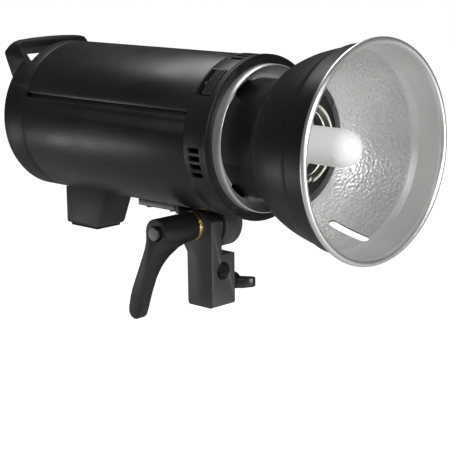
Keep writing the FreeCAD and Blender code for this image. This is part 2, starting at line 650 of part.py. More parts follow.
def rest_foot():
    block = prism_x(((181.2, -60.0), (198.6, -101.6), (238.6, -101.6), (238.6, -60.0)), -FOOT_HALF_X, FOOT_HALF_X)
    block = block.makeFillet(3.0, [e for e in block.Edges if e.CenterOfMass.z < -101 and along(e, Y_AXIS)])
    collar = cyl_y(COVER_R + 0.05, SHELL_Y1 - 0.3, 300)
    holes = [cyl_z(1.6, -90, -50, 0, y) for y in (206, 230)]
    counter = [cyl_z(3.2, -110, -80, 0, y) for y in (206, 230)]
    return cut(block, shell_clear(), collar, *(holes + counter))


def foot_pad():
    pad = prism_x(((200.0, -104.2), (200.0, -101.6), (237.0, -101.6), (237.0, -104.2)), -14.5, 14.5)
    return pad.makeFillet(1.0, [e for e in pad.Edges if e.CenterOfMass.z < -104.1])


# ---- light source -------------------------------------------------------------------
TUBE_LEG_X = 9.0


def flash_tube():
    """Glass ring, open at the bottom, with two legs that go back into the sockets."""
    leg_angle = math.degrees(math.asin(TUBE_LEG_X / TUBE_MAJOR))
    ring = Part.makeTorus(TUBE_MAJOR, TUBE_MINOR, V(0, TUBE_Y, 0), Y_AXIS)
    gap = box(-TUBE_LEG_X, TUBE_LEG_X, TUBE_Y - 10, TUBE_Y + 10, -50, 0)
    drop = TUBE_MAJOR * math.cos(math.radians(leg_angle))
    legs = [cyl_y(TUBE_MINOR, TUBE_Y, -14.0, x, -drop) for x in (-TUBE_LEG_X, TUBE_LEG_X)]
    elbows = [Part.makeSphere(TUBE_MINOR, V(x, TUBE_Y, -drop)) for x in (-TUBE_LEG_X, TUBE_LEG_X)]
    return fuse(ring.cut(gap), *(legs + elbows))


def tube_sockets():
    drop = math.sqrt(TUBE_MAJOR ** 2 - TUBE_LEG_X ** 2)
    solids = []
    for x in (-TUBE_LEG_X, TUBE_LEG_X):
        barrel = cyl_y(5.0, -22.0, -8.0, x, -drop).cut(cyl_y(TUBE_MINOR + 0.05, -23, -13.9, x, -drop))
        solids.append(barrel)
    return group(solids)


def modelling_lamp():
    """Frosted dome of the modelling lamp."""
    dome_y = LAMP_TIP_Y + LAMP_R
    outer = cyl_y(LAMP_R, dome_y, -34.0).fuse(Part.makeSphere(LAMP_R, V(0, dome_y, 0)))
    inner = cyl_y(LAMP_R - 1.2, dome_y, -33.0).fuse(Part.makeSphere(LAMP_R - 1.2, V(0, dome_y, 0)))
    return outer.cut(inner).removeSplitter()


def lamp_holder():
    """Ceramic socket that carries the modelling lamp."""
    rim = tube_y(LAMP_R + 2.2, LAMP_R + 0.1, -38.0, -33.9)
    cup = cyl_y(LAMP_R + 2.2, -33.9, -8.0)
    return fuse(rim, cup)


def lamp_shield():
    """Bright dished plate behind the tube."""
    plate = revolve(((0.0, -7.9), (44.0, -7.9), (46.5, -14.0), (47.6, -14.0), (45.0, -6.7), (0.0, -6.7)))
    return plate


def lamp_mount():
    """Moulded drum that carries shield, sockets and ring, on three arms inside the collar."""
    drum = tube_y(45.2, 41.5, -6.6, 20.0)
    back = cyl_y(60.0, 16.0, 20.0)
    pin = polar(56.6, 133)
    leg_room = sector(64.5, 52.4, 14, 26, 127.5, 138.5)
    posts = []
    for angle in (30, 150, 270):
        p = polar(56.5, angle)
        posts.append(cyl_y(3.0, 8.05, 16.5, p.x, p.z))
    arms = [sector(SPIGOT_INNER + 1.6, 58.0, 18.0, COLLAR_Y1 - 3.05, a - 6, a + 6) for a in (60, 240, 300)]
    body = fuse(drum, back, *(posts + arms))
    return body.cut(leg_room).cut(cyl_y(1.8, 14, 22, pin.x, pin.z))


# ---- inside -------------------------------------------------------------------------
def chassis_plate():
    """Sheet floor of the electronics on six posts that stand on the lower shell."""
    plate = box(-50, 50, 40, 228, -14, -12)
    posts = []
    for x in (-40, 40):
        foot = -math.sqrt((SHELL_R - WALL - 0.1) ** 2 - (abs(x) + 4) ** 2)
        for y in (60, 140, 210):
            posts.append(cyl_z(4.0, foot, -13.0, x, y))
    hangers = [cyl_z(2.5, -20.4, -13.0, x, y) for x in (-29, 29) for y in (106, 216)]
    return fuse(plate, *(posts + hangers))


CAPACITOR_R = 17.0
CAPACITOR_ROWS = (74.0, 112.0, 150.0)


def capacitor_bank():
    solids = []
    for y in CAPACITOR_ROWS:
        for x in (-19.0, 19.0):
            can = cyl_z(CAPACITOR_R, -12.0, 34.0, x, y)
            pins = [cyl_z(1.2, 34.0, 36.4, x + dx, y) for dx in (-5, 5)]
            solids.append(fuse(can, *pins))
    return group(solids)


def power_board():
    return box(-34, 34, 100, 222, -22.0, -20.4)


def power_parts():
    core = box(-22, 22, 150, 190, -50.0, -22.0)
    choke = cyl_z(13.0, -42.0, -22.0, 0, 124)
    blocks = [box(x - 5, x + 5, 198, 214, -40.0, -22.0) for x in (-22, 0, 22)]
    return group([core, choke] + blocks)


BOARD_Y = 247.6


def control_board():
    return box(-44, 44, BOARD_Y - 1.6, BOARD_Y, -23.5, 30)


def heat_sink():
    base = box(-30, 30, 176, 218, -11.9, -8.0)
    fins = [box(x, x + 2, 176, 218, -8.0, 18.0) for x in range(-30, 30, 6)]
    return fuse(base, *fins)


FAN_Y = 30.0


def fan_housing():
    frame = box(-25, 25, FAN_Y, FAN_Y + 10, -62.0, -14.5)
    frame = frame.common(cyl_y(SHELL_R - WALL - 0.1, 0, 100))
    bore = cyl_y(22.0, FAN_Y - 1, FAN_Y + 11, 0, -38.0)
    spokes = [box(-22.5, 22.5, FAN_Y + 8.4, FAN_Y + 10, -39.2, -36.8), box(-1.2, 1.2, FAN_Y + 8.4, FAN_Y + 10, -60.5, -15.5)]
    shaft = cyl_y(1.5, FAN_Y + 2, FAN_Y + 9, 0, -38.0)
    return fuse(frame.cut(bore), shaft, *spokes)


def fan_rotor():
    hub = tube_y(8.0, 1.5 + RUN, FAN_Y + 0.8, FAN_Y + 7.6, 0, -38.0)
    blades = []
    for k in range(7):
        blade = box(7.0, 21.0, FAN_Y + 3.4, FAN_Y + 4.8, -4.5, 4.5)
        blade.rotate(V(14, FAN_Y + 4.1, 0), X_AXIS, 28)
        blade.rotate(V(0, 0, 0), Y_AXIS, 360.0 / 7 * k)
        blade.translate(V(0, 0, -38.0))
        blades.append(blade)
    return fuse(hub, *blades)


# ---- rear panel ---------------------------------------------------------------------
PANEL_Y0 = 263.2
PANEL_Y1 = 266.0
WINDOW_HALF_X = 28.0
WINDOW_Z0 = 4.5
WINDOW_Z1 = 32.5
DIAL_Z = -8.0
DIAL_R = 9.5
BUTTONS = {
    "menu_button": (-21.0, -3.0), "mode_button": (-21.0, -15.0),
    "lamp_button": (21.0, -3.0), "sound_button": (21.0, -15.0),
}
BUTTON_R = 4.2
BOARD_POSTS = ((-40.0, 26.0), (40.0, 26.0), (-28.0, -20.5), (28.5, -20.5))
TEST_X = 38.0
TEST_Z = -9.0
ROCKER_X = -38.0
ROCKER_Z = -6.0
INLET_Z = -35.5
FUSE_X = -30.0
JACK_X = 30.0
JACK_Z = -30.0


def control_panel():
    plate = panel_outline(0.0, PANEL_Y0, PANEL_Y1)
    display = box(-WINDOW_HALF_X, WINDOW_HALF_X, 250, 280, WINDOW_Z0, WINDOW_Z1)
    dial = cyl_y(3.0 + RUN, 250, 280, 0, DIAL_Z)
    button_holes = [cyl_y(BUTTON_R + GAP, 250, 280, x, z) for x, z in BUTTONS.values()]
    test = cyl_y(5.0 + GAP, 250, 280, TEST_X, TEST_Z)
    rocker = box(ROCKER_X - 7, ROCKER_X + 7, 250, 280, ROCKER_Z - 10.5, ROCKER_Z + 10.5)
    inlet = box(-14.2, 14.2, 250, 280, INLET_Z - 10.2, INLET_Z + 10.2)
    jacks = [cyl_y(4.1, 250, 280, JACK_X, JACK_Z), cyl_y(6.1, 250, 280, FUSE_X, JACK_Z)]
    posts = [cyl_y(2.0, BOARD_Y, PANEL_Y0 + 1, x, z) for x, z in BOARD_POSTS]
    return cut(fuse(plate, *posts), display, dial, test, rocker, inlet, *(button_holes + jacks))


def display_window():
    x = WINDOW_HALF_X - 0.1
    return box(-x, x, PANEL_Y1 - 1.4, PANEL_Y1 + 0.2, WINDOW_Z0 + 0.1, WINDOW_Z1 - 0.1)


def display_module():
    x = WINDOW_HALF_X - 0.5
    return box(-x, x, 254.0, PANEL_Y1 - 1.6, WINDOW_Z0 + 0.5, WINDOW_Z1 - 0.5)


def control_dial():
    """Fluted knob with a finger dish, on a shaft through the panel."""
    shaft = cyl_y(3.0, 252.0, PANEL_Y1 + 2, 0, DIAL_Z)
    knob = cyl_y(DIAL_R, PANEL_Y1 + 0.4, PANEL_Y1 + 11.0, 0, DIAL_Z)
    flutes = []
    for k in range(24):
        a = math.radians(15 * k)
        x = (DIAL_R + 0.1) * math.cos(a)
        z = DIAL_Z + (DIAL_R + 0.1) * math.sin(a)
        flutes.append(cyl_y(0.5, PANEL_Y1, PANEL_Y1 + 9.6, x, z))
    dish = Part.makeSphere(20.0, V(0, PANEL_Y1 + 30.0, DIAL_Z))
    return fuse(shaft, cut(knob, dish, *flutes))


def push_button(x, z):
    cap = cyl_y(BUTTON_R, 259.0, PANEL_Y1 + 1.6, x, z)
    cap = cap.makeFillet(0.6, [e for e in cap.Edges if e.CenterOfMass.y > PANEL_Y1 + 1.5])
    return fuse(cap, cyl_y(BUTTON_R + 0.8, 259.0, 260.2, x, z))


def test_button():
    cap = cyl_y(5.0, 258.5, PANEL_Y1 + 1.8, TEST_X, TEST_Z)
    cap = cap.makeFillet(0.8, [e for e in cap.Edges if e.CenterOfMass.y > PANEL_Y1 + 1.7])
    return fuse(cap, cyl_y(5.8, 258.5, 259.8, TEST_X, TEST_Z))


ROCKER_PIVOT_Y = 261.0


def rocker_frame():
    shell = box(ROCKER_X - 6.9, ROCKER_X + 6.9, 250.0, PANEL_Y1, ROCKER_Z - 10.4, ROCKER_Z + 10.4)
    lip = box(ROCKER_X - 8.2, ROCKER_X + 8.2, PANEL_Y1, PANEL_Y1 + 1.0, ROCKER_Z - 11.7, ROCKER_Z + 11.7)
    well = box(ROCKER_X - 5.6, ROCKER_X + 5.6, 252.0, 280, ROCKER_Z - 9.4, ROCKER_Z + 9.4)
    pin = cyl_x(1.2, ROCKER_X - 6.0, ROCKER_X + 6.0, ROCKER_PIVOT_Y, ROCKER_Z)
    return fuse(fuse(shell, lip).cut(well), pin)


def power_rocker():
    """Two-way rocker, resting with its lower half pressed in."""
    keel = cyl_x(4.0, ROCKER_X - 5.2, ROCKER_X + 5.2, ROCKER_PIVOT_Y, ROCKER_Z)
    key = prism_x((
        (ROCKER_PIVOT_Y - 1, ROCKER_Z - 7.8), (ROCKER_PIVOT_Y + 5.0, ROCKER_Z - 8.0), (ROCKER_PIVOT_Y + 4.4, ROCKER_Z),
        (ROCKER_PIVOT_Y + 5.0, ROCKER_Z + 8.0), (ROCKER_PIVOT_Y - 1, ROCKER_Z + 7.8),
    ), ROCKER_X - 5.2, ROCKER_X + 5.2)
    body = fuse(keel, key).cut(cyl_x(1.2 + RUN, ROCKER_X - 7, ROCKER_X + 7, ROCKER_PIVOT_Y, ROCKER_Z))
    body.rotate(V(ROCKER_X, ROCKER_PIVOT_Y, ROCKER_Z), X_AXIS, 9)
    return body


def power_inlet():
    """Three-pin appliance inlet with its well open to the rear."""
    shell = box(-14.1, 14.1, 244.0, PANEL_Y1, INLET_Z - 10.1, INLET_Z + 10.1)
    lip = box(-15.6, 15.6, PANEL_Y1, PANEL_Y1 + 1.2, INLET_Z - 11.6, INLET_Z + 11.6)
    well = box(-12.2, 12.2, 250.0, 280, INLET_Z - 8.2, INLET_Z + 8.2)
    return fuse(shell, lip).cut(well)


def inlet_pins():
    solids = []
    for x, z in ((-7.0, -2.0), (7.0, -2.0), (0.0, 2.0)):
        solids.append(box(x - 1.0, x + 1.0, 250.0, 263.0, INLET_Z + z - 2.0, INLET_Z + z + 2.0))
    return group(solids)


def fuse_holder():
    barrel = cyl_y(6.0, 248.0, PANEL_Y1, FUSE_X, JACK_Z)
    cap = cyl_y(7.0, PANEL_Y1, PANEL_Y1 + 3.0, FUSE_X, JACK_Z)
    slot = box(FUSE_X - 4.5, FUSE_X + 4.5, PANEL_Y1 + 1.8, PANEL_Y1 + 4, JACK_Z - 0.7, JACK_Z + 0.7)
    return fuse(barrel, cap).cut(slot)


def sync_jack():
    barrel = cyl_y(4.0, 250.0, PANEL_Y1, JACK_X, JACK_Z)
    nut = cyl_y(5.4, PANEL_Y1, PANEL_Y1 + 1.6, JACK_X, JACK_Z)
    return fuse(barrel, nut).cut(cyl_y(1.75, 253.0, 280, JACK_X, JACK_Z))


MAKERS = (
    stand_bracket, thrust_pad, wing_screw, tilt_bolt, lever_insert, clamp_lever, lever_screw,
    lever_spring, tilt_washer, head_knuckle, pivot_cap, mounting_rail, underside_screws,
    upper_cover, lower_shell, front_collar, front_bezel, bezel_screws, bayonet_ring,
    reflector_neck, reflector_bowl, reflector_rivets, release_slider, lock_pin, slider_spring,
    rear_cap, cap_screws, carry_handle, handle_screws, rest_foot, foot_pad, flash_tube,
    tube_sockets, modelling_lamp, lamp_holder, lamp_shield, lamp_mount, chassis_plate,
    capacitor_bank, power_board, power_parts, control_board, heat_sink,
    fan_housing, fan_rotor, control_panel, display_window, display_module, control_dial,
    test_button, rocker_frame, power_rocker, power_inlet, inlet_pins, fuse_holder, sync_jack,
)


def main():
    os.makedirs("parts", exist_ok=True)
    shapes = {make.__name__: make() for make in MAKERS}
    for name, (x, z) in BUTTONS.items():
        shapes[name] = push_button(x, z)
    for name, shape in shapes.items():
        placed = shape.copy()
        placed.translate(HEAD_AT)
        placed.exportStep(os.path.join("parts", name + ".step"))


main()
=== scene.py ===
"""Looks of the monolight strobe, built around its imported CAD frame.

Lengths in the tables are millimetres in the head's own frame, whose origin lies on
the lamp axis at the front bezel's face; HEAD moves them into the part's frame.
"""
import json
import math
import random

import bmesh
import bpy
from mathutils import Matrix, Vector
from mathutils.kdtree import KDTree


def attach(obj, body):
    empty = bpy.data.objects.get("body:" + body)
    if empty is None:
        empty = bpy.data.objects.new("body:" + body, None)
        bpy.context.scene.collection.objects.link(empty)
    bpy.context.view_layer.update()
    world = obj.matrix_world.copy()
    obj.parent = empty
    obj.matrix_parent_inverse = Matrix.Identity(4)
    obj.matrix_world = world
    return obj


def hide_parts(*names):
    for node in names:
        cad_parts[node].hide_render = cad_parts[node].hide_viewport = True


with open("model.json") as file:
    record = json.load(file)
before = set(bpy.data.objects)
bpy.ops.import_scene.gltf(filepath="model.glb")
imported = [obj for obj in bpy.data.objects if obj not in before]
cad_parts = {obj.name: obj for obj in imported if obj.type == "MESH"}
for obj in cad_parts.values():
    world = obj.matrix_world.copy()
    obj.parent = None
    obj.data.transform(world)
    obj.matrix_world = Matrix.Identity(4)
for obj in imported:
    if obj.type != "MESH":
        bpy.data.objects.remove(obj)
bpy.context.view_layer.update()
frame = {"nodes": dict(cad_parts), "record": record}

NODES = frame["nodes"]
BODY_OF = {n: b for b, members in frame["record"]["behaviour"]["bodies"].items() for n in members}
SLOT_OF = {s["node"]: s["material_slot"] for s in frame["record"]["subparts"]}
HEAD = Vector((0.0, -0.0655, 0.154))
MM = 0.001


def head(x, y, z):
    """Point given in the head's frame in millimetres, as a point of the part in metres."""
    return HEAD + Vector((x, y, z)) * MM


# ---- camera -------------------------------------------------------------------------
CAMERA_PLACE = (-0.894468, -0.889580, 0.341539)
CAMERA_ANGLES = (-45.782, 12.161, -0.814)      # azimuth, elevation and roll, in degrees
LENS_MM = 117.3271


def make_camera():
    azimuth, elevation, roll = (math.radians(a) for a in CAMERA_ANGLES)
    back = Vector((math.sin(azimuth) * math.cos(elevation), -math.cos(azimuth) * math.cos(elevation),
                   math.sin(elevation)))
    right = Vector((math.cos(azimuth), math.sin(azimuth), 0.0))
    up = back.cross(right)
    right_r = math.cos(roll) * right + math.sin(roll) * up
    up_r = -math.sin(roll) * right + math.cos(roll) * up
    data = bpy.data.cameras.new("camera")
    data.sensor_width = 36.0
    data.lens = LENS_MM
    data.clip_end = 20.0
    camera = bpy.data.objects.new("camera", data)
    basis = Matrix((right_r, up_r, back)).transposed()
    place = basis.to_4x4()
    place.translation = CAMERA_PLACE
    camera.matrix_world = place
    bpy.context.scene.collection.objects.link(camera)
    bpy.context.scene.camera = camera


make_camera()


# ---- materials ----------------------------------------------------------------------
def node_of(tree, kind, **values):
    node = tree.nodes.new(kind)
    for key, value in values.items():
        setattr(node, key, value)
    return node


def surface(name, color, rough, metallic=0.0, grain=900.0, bump=0.02, mottle=0.12, rough_var=0.08,
            wear=0.0, wear_color=(0.35, 0.35, 0.36), coat=0.0, specular=0.5, brushed=None, pits=None):
    """A procedural surface: colour mottling, uneven roughness, fine grain and worn edges."""
    mat = bpy.data.materials.new(name)
    mat.use_nodes = True
    tree = mat.node_tree
    shader = tree.nodes["Principled BSDF"]
    shader.inputs["Metallic"].default_value = metallic
    shader.inputs["Coat Weight"].default_value = coat
    shader.inputs["Coat Roughness"].default_value = 0.12
    shader.inputs["Specular IOR Level"].default_value = specular
    coords = node_of(tree, "ShaderNodeTexCoord")

    cloud = node_of(tree, "ShaderNodeTexNoise")
    cloud.inputs["Scale"].default_value = 38.0
    cloud.inputs["Detail"].default_value = 5.0
    tree.links.new(coords.outputs["Object"], cloud.inputs["Vector"])
    tint = node_of(tree, "ShaderNodeValToRGB")
    low = [c * (1 - mottle) for c in color]
    high = [min(c * (1 + mottle), 1.0) for c in color]
    tint.color_ramp.elements[0].position = 0.3
    tint.color_ramp.elements[0].color = (*low, 1)
    tint.color_ramp.elements[1].position = 0.7
    tint.color_ramp.elements[1].color = (*high, 1)
    tree.links.new(cloud.outputs["Fac"], tint.inputs["Fac"])
    color_out = tint.outputs["Color"]

    fine = node_of(tree, "ShaderNodeTexNoise")
    fine.inputs["Scale"].default_value = grain
    fine.inputs["Detail"].default_value = 3.0
    stretch = node_of(tree, "ShaderNodeMapping")
    stretch.inputs["Scale"].default_value = brushed or (1.0, 1.0, 1.0)
    tree.links.new(coords.outputs["Object"], stretch.inputs["Vector"])
    tree.links.new(stretch.outputs["Vector"], fine.inputs["Vector"])

    smudge = node_of(tree, "ShaderNodeTexNoise")
    smudge.inputs["Scale"].default_value = 14.0
    smudge.inputs["Detail"].default_value = 6.0
    smudge.inputs["Roughness"].default_value = 0.65
    tree.links.new(coords.outputs["Object"], smudge.inputs["Vector"])
    rough_range = node_of(tree, "ShaderNodeMapRange")
    rough_range.inputs["From Min"].default_value = 0.3
    rough_range.inputs["From Max"].default_value = 0.7
    rough_range.inputs["To Min"].default_value = max(rough - rough_var, 0.02)
    rough_range.inputs["To Max"].default_value = min(rough + rough_var, 1.0)
    tree.links.new(smudge.outputs["Fac"], rough_range.inputs["Value"])
    tree.links.new(rough_range.outputs["Result"], shader.inputs["Roughness"])

    if wear:
        geometry = node_of(tree, "ShaderNodeNewGeometry")
        edge = node_of(tree, "ShaderNodeMapRange")
        edge.inputs["From Min"].default_value = 0.53
        edge.inputs["From Max"].default_value = 0.62
        edge.inputs["To Max"].default_value = wear
        tree.links.new(geometry.outputs["Pointiness"], edge.inputs["Value"])
        scuffs = node_of(tree, "ShaderNodeMath", operation="MULTIPLY")
        tree.links.new(edge.outputs["Result"], scuffs.inputs[0])
        tree.links.new(smudge.outputs["Fac"], scuffs.inputs[1])
        mix = node_of(tree, "ShaderNodeMix", data_type="RGBA")
        mix.inputs[7].default_value = (*wear_color, 1)
        tree.links.new(scuffs.outputs[0], mix.inputs[0])
        tree.links.new(color_out, mix.inputs[6])
        color_out = mix.outputs[2]
    tree.links.new(color_out, shader.inputs["Base Color"])

    relief = node_of(tree, "ShaderNodeBump")
    relief.inputs["Strength"].default_value = bump
    relief.inputs["Distance"].default_value = 0.0004
    tree.links.new(fine.outputs["Fac"], relief.inputs["Height"])
    last = relief
    if pits:
        scale, depth = pits
        cells = node_of(tree, "ShaderNodeTexVoronoi", feature="SMOOTH_F1")
        cells.inputs["Scale"].default_value = scale
        tree.links.new(coords.outputs["Object"], cells.inputs["Vector"])
        second = node_of(tree, "ShaderNodeBump")
        second.inputs["Strength"].default_value = depth
        second.inputs["Distance"].default_value = 0.0010
        tree.links.new(cells.outputs["Distance"], second.inputs["Height"])
        tree.links.new(relief.outputs["Normal"], second.inputs["Normal"])
        last = second
    tree.links.new(last.outputs["Normal"], shader.inputs["Normal"])
    return mat


def glass(name, color, rough, transmission=1.0, ior=1.47, grain=260.0, bump=0.03):
    """Glass with slight waviness and uneven polish."""
    mat = surface(name, color, rough, grain=grain, bump=bump, mottle=0.03, rough_var=0.03)
    shader = mat.node_tree.nodes["Principled BSDF"]
    shader.inputs["Transmission Weight"].default_value = transmission
    shader.inputs["IOR"].default_value = ior
    return mat


def glowing(mat, color, strength):
    shader = mat.node_tree.nodes["Principled BSDF"]
    shader.inputs["Emission Color"].default_value = (*color, 1)
    shader.inputs["Emission Strength"].default_value = strength
    return mat


MATERIALS = {
    "body_paint": surface("body_paint", (0.009, 0.009, 0.010), 0.36, grain=1400, bump=0.10, wear=0.2,
                          specular=0.55),
    "bracket_paint": surface("bracket_paint", (0.060, 0.060, 0.062), 0.42, grain=1100, bump=0.16, wear=0.5,
                             specular=0.45),
    "trim_black": surface("trim_black", (0.011, 0.011, 0.012), 0.44, grain=1700, bump=0.14, wear=0.2),
    "trim_gloss": surface("trim_gloss", (0.012, 0.012, 0.013), 0.22, grain=900, bump=0.03, wear=0.1,
                          coat=0.3),
    "rail_alloy": surface("rail_alloy", (0.16, 0.16, 0.17), 0.42, metallic=0.6, grain=700, bump=0.06,
                          wear=0.5,
                          brushed=(1, 0.1, 1)),
    "bush_brass": surface("bush_brass", (0.80, 0.60, 0.25), 0.25, metallic=1.0, grain=600, bump=0.05,
                          brushed=(0.1, 1, 1)),
    "steel": surface("steel", (0.17, 0.17, 0.175), 0.45, metallic=1.0, grain=800, bump=0.08,
                     brushed=(0.15, 1, 1)),
    "black_steel": surface("black_steel", (0.05, 0.05, 0.052), 0.38, metallic=0.8, grain=900, bump=0.05,
                           wear=0.5),
    "mount_bright": surface("mount_bright", (0.90, 0.90, 0.91), 0.42, metallic=0.75, grain=500, bump=0.03,
                            mottle=0.04, rough_var=0.05, brushed=(1, 8, 1)),
    "bowl_alloy": surface("bowl_alloy", (0.70, 0.70, 0.70), 0.34, metallic=1.0, grain=700, bump=0.05,
                          mottle=0.05),
    "neck_black": surface("neck_black", (0.010, 0.010, 0.011), 0.34, grain=1200, bump=0.06, wear=0.2),
    "tube_glass": glass("tube_glass", (1.0, 0.95, 0.82), 0.05),
    "lamp_glass": surface("lamp_glass", (0.93, 0.93, 0.92), 0.38, grain=2200, bump=0.05, mottle=0.02,
                          rough_var=0.05),
    "ceramic_white": surface("ceramic_white", (0.82, 0.80, 0.76), 0.35, grain=500, bump=0.05, coat=0.2),
    "rubber_black": surface("rubber_black", (0.016, 0.016, 0.016), 0.72, grain=900, bump=0.3,
                            pits=(600, 0.2)),
    "board_green": surface("board_green", (0.02, 0.13, 0.06), 0.42, grain=400, bump=0.2, pits=(260, 0.5)),
    "can_sleeve": surface("can_sleeve", (0.02, 0.03, 0.10), 0.28, grain=500, bump=0.05, coat=0.2),
    "core_iron": surface("core_iron", (0.12, 0.11, 0.10), 0.6, metallic=0.5, grain=700, bump=0.3,
                         brushed=(1, 1, 12)),
    "alloy_bare": surface("alloy_bare", (0.68, 0.68, 0.69), 0.38, metallic=1.0, grain=600, bump=0.08,
                          brushed=(1, 0.1, 1)),
    "screen_glass": surface("screen_glass", (0.012, 0.014, 0.018), 0.10, grain=500, bump=0.01, coat=0.6),
    "button_grey": surface("button_grey", (0.10, 0.10, 0.105), 0.6, grain=1200, bump=0.2, wear=0.2),
}
DISH = surface("dish_satin", (0.90, 0.90, 0.90), 0.50, metallic=0.35, grain=700, bump=0.04, mottle=0.03)
BOWL_OUT = surface("bowl_outside_paint", (0.010, 0.010, 0.011), 0.38, grain=1300, bump=0.10, wear=0.15)
BOWL_IN = surface("bowl_hammered", (0.74, 0.74, 0.73), 0.44, metallic=0.9, grain=900, bump=0.06, mottle=0.05,
                  pits=(470, 0.7))
BOWL_RIM = surface("bowl_plain_band", (0.86, 0.86, 0.85), 0.46, metallic=1.0, grain=900, bump=0.05,
                   mottle=0.04,
                   brushed=(1, 6, 1))
BOWL_LIP = surface("bowl_rolled_lip", (0.95, 0.95, 0.95), 0.34, metallic=0.9, grain=700, bump=0.02,
                   mottle=0.02)
MATERIALS["lamp_glass"].node_tree.nodes["Principled BSDF"].inputs["Subsurface Weight"].default_value = 0.3
MATERIALS["lamp_glass"].node_tree.nodes["Principled BSDF"].inputs["Subsurface Radius"].default_value = (
    0.004, 0.004, 0.004)
glowing(MATERIALS["lamp_glass"], (1.0, 0.99, 0.96), 0.10)


def dress(obj, material):
    obj.data.materials.clear()
    obj.data.materials.append(material)


for name, obj in NODES.items():
    slot = SLOT_OF[name]
    for k in range(max(len(obj.material_slots), 1)):
        if len(obj.material_slots) <= k:
            obj.data.materials.append(MATERIALS[slot])
        else:
            obj.material_slots[k].material = MATERIALS[slot]


# ---- mesh helpers -------------------------------------------------------------------
def link(name, mesh, body, slot, *nodes):
    obj = bpy.data.objects.new(name, mesh)
    bpy.context.scene.collection.objects.link(obj)
    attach(obj, body)
    if nodes:
        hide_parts(*nodes)
    return obj


def smooth(mesh, angle=35.0):
    mesh.shade_smooth()
    mesh.set_sharp_from_angle(angle=math.radians(angle))


def apply_modifiers(obj):
    """Replaces the object's mesh by its evaluated one."""
    graph = bpy.context.evaluated_depsgraph_get()
    mesh = bpy.data.meshes.new_from_object(obj.evaluated_get(graph))
    obj.modifiers.clear()
    obj.data = mesh


def refine(node, bevel, segments=2, angle=32.0, material=None):
    """The node's shape again with rounded edges that catch the light."""
    source = NODES[node].data
    bm = bmesh.new()
    bm.from_mesh(source)
    bmesh.ops.remove_doubles(bm, verts=bm.verts, dist=2e-6)
    bmesh.ops.dissolve_limit(bm, angle_limit=math.radians(0.8), verts=bm.verts, edges=bm.edges)
    mesh = bpy.data.meshes.new(node + "_fine")
    bm.to_mesh(mesh)
    bm.free()
    obj = link(node + "_fine", mesh, BODY_OF[node], SLOT_OF[node], node)
    rounding = obj.modifiers.new("rounding", "BEVEL")
    rounding.width = bevel * MM
    rounding.segments = segments
    rounding.limit_method = "ANGLE"
    rounding.angle_limit = math.radians(angle)
    rounding.use_clamp_overlap = True
    apply_modifiers(obj)
    smooth(obj.data, 40.0)
    dress(obj, material or MATERIALS[SLOT_OF[node]])
    return obj


def curved(points, steps=4):
    """Catmull-Rom curve through (radius, y) points."""
    out = []
    last = len(points) - 1
    for k in range(last):
        p0, p1, p2, p3 = (points[min(max(k + d, 0), last)] for d in (-1, 0, 1, 2))
        for s in range(steps):
            t = s / steps
            out.append(tuple(
                0.5 * (2 * b + (c - a) * t + (2 * a - 5 * b + 4 * c - d) * t * t
                       + (3 * b - a - 3 * c + d) * t ** 3)
                for a, b, c, d in zip(p0, p1, p2, p3)))
    out.append(points[-1])
    return out


def inset(points, depth):
    """A (radius, y) line moved inwards by a depth, measured square to it."""
    moved = []
    for k, (r, y) in enumerate(points):
        before, after = points[max(k - 1, 0)], points[min(k + 1, len(points) - 1)]
        dr, dy = after[0] - before[0], after[1] - before[1]
        length = math.hypot(dr, dy)
        moved.append((r + depth * dy / length, y - depth * dr / length))
    return moved


def lathe(name, profile, segments, bands=None):
    """Closed (radius, y) profile turned about the lamp axis.  bands gives each profile
    span's material index."""
    count = len(profile)
    verts = []
    for k in range(segments):
        a = 2 * math.pi * k / segments
        verts += [head(r * math.cos(a), y, r * math.sin(a)) for r, y in profile]
    faces, kinds = [], []
    for k in range(segments):
        n = (k + 1) % segments
        for j in range(count):
            m = (j + 1) % count
            faces.append((k * count + j, k * count + m, n * count + m, n * count + j))
            kinds.append(bands[j] if bands else 0)
    mesh = bpy.data.meshes.new(name)
    mesh.from_pydata(verts, [], faces)
    mesh.polygons.foreach_set("material_index", kinds)
    bm = bmesh.new()
    bm.from_mesh(mesh)
    bmesh.ops.recalc_face_normals(bm, faces=bm.faces)
    bm.to_mesh(mesh)
    bm.free()
    return mesh


def carve(obj, cutter):
    """Cuts one closed object out of another and removes the cutter."""
    step = obj.modifiers.new("cut", "BOOLEAN")
    step.operation = "DIFFERENCE"
    step.solver = "EXACT"
    step.object = cutter
    apply_modifiers(obj)
    bpy.data.objects.remove(cutter)


def solid(name, verts, faces):
    mesh = bpy.data.meshes.new(name)
    mesh.from_pydata(verts, [], faces)
    bm = bmesh.new()
    bm.from_mesh(mesh)
    bmesh.ops.recalc_face_normals(bm, faces=bm.faces)
    bm.to_mesh(mesh)
    bm.free()
    obj = bpy.data.objects.new(name, mesh)
    bpy.context.scene.collection.objects.link(obj)
    return obj


# ---- reflector bowl -----------------------------------------------------------------
BOWL_OUTER = (
    (50.3, -34.4), (52.8, -34.4), (55.2, -34.6), (57.7, -37.1), (60.4, -40.3), (62.6, -42.8), (64.6, -45.4),
    (67.9, -50.2), (70.5, -55.0), (72.7, -60.0), (74.7, -65.0), (76.4, -70.0), (77.8, -75.0), (79.1, -80.0),
    (80.3, -85.0), (81.3, -90.2),
)
BOWL_FRONT = ((81.9, -92.6), (82.4, -93.6), (83.7, -96.6), (84.1, -98.2), (84.9, -108.0), (85.5, -117.0))
SKIN = 1.1
BEAD_R = 2.72
BEAD_CENTRE = (87.4, -119.0)
BOWL_SEGMENTS = 480
DIMPLE_PITCH = 2.3
DIMPLE_DEPTH = 0.11
DIMPLED_Y = (-91.0, -36.5)
BAND_Y = -92.0                 # the plain band starts in front of this
OUTER_BEAD_SPANS = 8           # how much of the rolled lip is painted like the outside
